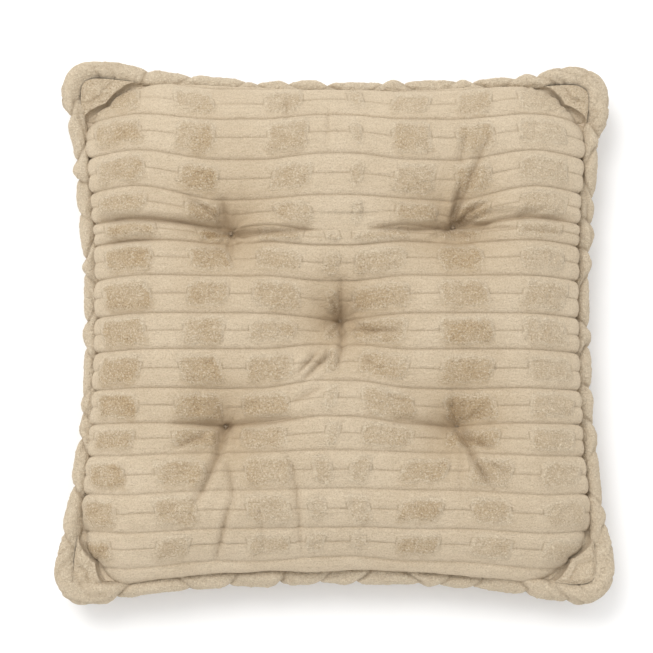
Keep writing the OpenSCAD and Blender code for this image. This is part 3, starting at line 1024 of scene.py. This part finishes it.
def plush_colour(tree, fibres, clumps, tips, nap):
    """The plush's colour, with painted shade in its pile, creases and pits and painted highlights on its
    fibre tips, and where its pile is thick.
    """
    def times(a, b):
        return math_node(tree, "MULTIPLY", a, b)

    inside, tone, groove, pit_shade, tick = (
        attribute(tree, n) for n in ("inside", "tone", "groove", "pit", "tick")
    )
    ragged = math_node(tree, "ADD", inside, times(math_node(tree, "SUBTRACT", clumps, 0.5), 9.0))
    pile = ramp(tree, ragged, -0.2, 1.0)
    # painted highlight along the blocks' ragged edges
    lit_fringe = times(pile, ramp(tree, ragged, 3.6, 1.6))
    # painted shade between the pile's clumps, deeper where the pile's painted shade is
    shade_between_clumps = times(times(ramp(tree, clumps, 0.50, 0.66), pile), math_node(tree, "ADD", tone, 0.35))
    lit = times(ramp(tree, tips, 0.52, 0.64), pile)
    seam = ramp(tree, math_node(tree, "ABSOLUTE", tick), 0.9, 0.3)
    cloud = ramp(tree, noise(tree, 24, 3, 0.5), 0.3, 0.7)
    layers = (           # mask, share of it, colour
        # streaks where the nap lies another way, painted as the shade they take in the light
        (ramp(tree, nap, 0.35, 0.65), 0.22, (0.48, 0.38, 0.26)),
        (ramp(tree, fibres, 0.44, 0.64), 0.42, (0.38, 0.29, 0.185)),
        (ramp(tree, tips, 0.54, 0.66), 0.3, TIP),
        # painted shade in the blocks' pile, round the pits and on the ears
        (tone, 0.8, (0.44, 0.31, 0.17)),
        # painted shade between the pile's clumps
        (shade_between_clumps, 0.6, (0.28, 0.185, 0.10)),
        # painted highlights on the lit fibre tips and along the blocks' ragged edges
        (lit, 0.5, TIP),
        (lit_fringe, 0.15, TIP),
        (seam, 0.35, (0.30, 0.21, 0.125)),
        # painted shade in the seams, folds and creases
        (groove, 0.42, (0.29, 0.195, 0.11)),
        # painted shade in the pits
        (pit_shade, 0.4, (0.40, 0.27, 0.15)),
    )
    base = mix(tree, cloud, PLUSH, PLUSH_LIGHTER)
    for mask, share, colour in layers:
        base = mix(tree, times(mask, share), base, colour)
    return base, pile


def plush_material():
    material, tree, shader = nodes_of("plush")
    fibres = noise(tree, 900, 2, 0.7)
    clumps = noise(tree, 620, 3, 0.7)
    tips = noise(tree, 700, 2, 0.65, (1, 1, 1.3))
    nap = noise(tree, 420, 2, 0.6, (0.12, 1, 1))
    colour, pile = plush_colour(tree, fibres, clumps, tips, nap)
    tree.links.new(colour, shader.inputs["Base Color"])
    shader.inputs["Roughness"].default_value = 0.95
    shader.inputs["Specular IOR Level"].default_value = 0.1
    shader.inputs["Sheen Weight"].default_value = 0.18
    shader.inputs["Sheen Roughness"].default_value = 0.5
    shader.inputs["Sheen Tint"].default_value = (1.0, 0.88, 0.7, 1)

    def weighed(value, share):
        return math_node(tree, "MULTIPLY", value, share)

    piled = weighed(math_node(tree, "SUBTRACT", tips, clumps), weighed(pile, 0.4))
    height = math_node(tree, "ADD", weighed(fibres, 0.6), piled)
    add_bump(tree, shader, math_node(tree, "ADD", height, weighed(nap, 0.3)), 0.003, 1.0)
    return material


def cloth_material(name, light, dark, scale):
    material, tree, shader = nodes_of(name)
    fibres = noise(tree, scale, 4, 0.7)
    tree.links.new(mix(tree, ramp(tree, fibres, 0.3, 0.7), light, dark), shader.inputs["Base Color"])
    shader.inputs["Roughness"].default_value = 0.9
    shader.inputs["Sheen Weight"].default_value = 0.15
    add_bump(tree, shader, fibres, 0.0006, 0.5)
    return material


plush = plush_material()
backing = cloth_material("backing_fabric", (0.62, 0.52, 0.39), (0.50, 0.41, 0.30), 700)
thread = cloth_material("thread", (0.66, 0.55, 0.41), (0.48, 0.38, 0.27), 1500)
twine = cloth_material("twine", (0.42, 0.33, 0.23), (0.30, 0.23, 0.15), 1500)
ribbon = cloth_material("label_ribbon", (0.86, 0.86, 0.84), (0.78, 0.78, 0.76), 1200)

top, top_points = make_top()
top.data.materials.append(plush)
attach(top, "root")
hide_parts("top_cover", "upper_batting", "core_pad")

bottom, bottom_points = make_bottom()
bottom.data.materials.append(backing)
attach(bottom, "root")
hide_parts("bottom_cover", "lower_batting")

roll = make_roll()
roll.data.materials.append(plush)
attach(roll, "root")
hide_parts("edge_roll_sleeve", "edge_roll_cord")

for place in TUFT_NAMES:
    tie = make_tie(f"tuft_tie_{place}", place, top_points, bottom_points)
    tie.data.materials.append(twine)
    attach(tie, "root")
    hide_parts(f"tuft_twine_{place}")

for stitches, node in zip(make_stitches(), ("perimeter_seam", "closing_stitches")):
    stitches.data.materials.append(thread)
    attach(stitches, "root")
    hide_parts(node)

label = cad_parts["care_label"]
label.data.materials.clear()
label.data.materials.append(ribbon)


# ---- Floor, light and camera ----

FLOOR_SIZE = 12
KEY_PLACE, KEY_SIZE, KEY_POWER, KEY_COLOUR = (-1.15, 1.5, 3.0), 2.4, 59, (1, 0.985, 0.965)
STUDIO_LIGHT = 1.02
TILT = math.radians(9.5)         # of the camera towards the front
AIM, DISTANCE = Vector((-0.0074, 0.008, 0)), 2.3
SENSOR, FOCAL_PIXELS, FRAME_PIXELS = 36, 2795, 653


def make_floor():
    bpy.ops.mesh.primitive_plane_add(size=FLOOR_SIZE)
    floor = bpy.context.object
    floor.name = "floor"
    material, _, shader = nodes_of("floor")
    shader.inputs["Base Color"].default_value = (0.95, 0.95, 0.95, 1)
    shader.inputs["Roughness"].default_value = 0.9
    floor.data.materials.append(material)
    floor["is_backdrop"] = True


def make_light():
    light = bpy.data.lights.new("key", "AREA")
    light.shape = "DISK"
    light.size = KEY_SIZE
    light.energy = KEY_POWER
    light.color = KEY_COLOUR
    obj = bpy.data.objects.new("key", light)
    obj.location = KEY_PLACE
    obj.rotation_euler = (-Vector(KEY_PLACE)).to_track_quat("-Z", "Y").to_euler()
    bpy.context.scene.collection.objects.link(obj)
    world = bpy.data.worlds.new("studio")
    world.use_nodes = True
    world.node_tree.nodes["Background"].inputs["Color"].default_value = (1, 1, 1, 1)
    world.node_tree.nodes["Background"].inputs["Strength"].default_value = STUDIO_LIGHT
    bpy.context.scene.world = world


def make_camera():
    camera = bpy.data.cameras.new("camera")
    camera.sensor_width = SENSOR
    camera.lens = SENSOR * FOCAL_PIXELS / FRAME_PIXELS
    obj = bpy.data.objects.new("camera", camera)
    away = Vector((0, -math.sin(TILT), math.cos(TILT)))
    obj.location = AIM + DISTANCE * away
    obj.rotation_euler = away.to_track_quat("Z", "Y").to_euler()
    bpy.context.scene.collection.objects.link(obj)
    bpy.context.scene.camera = obj


make_floor()
make_light()
make_camera()
bpy.context.scene.view_settings.view_transform = "Standard"

low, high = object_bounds()
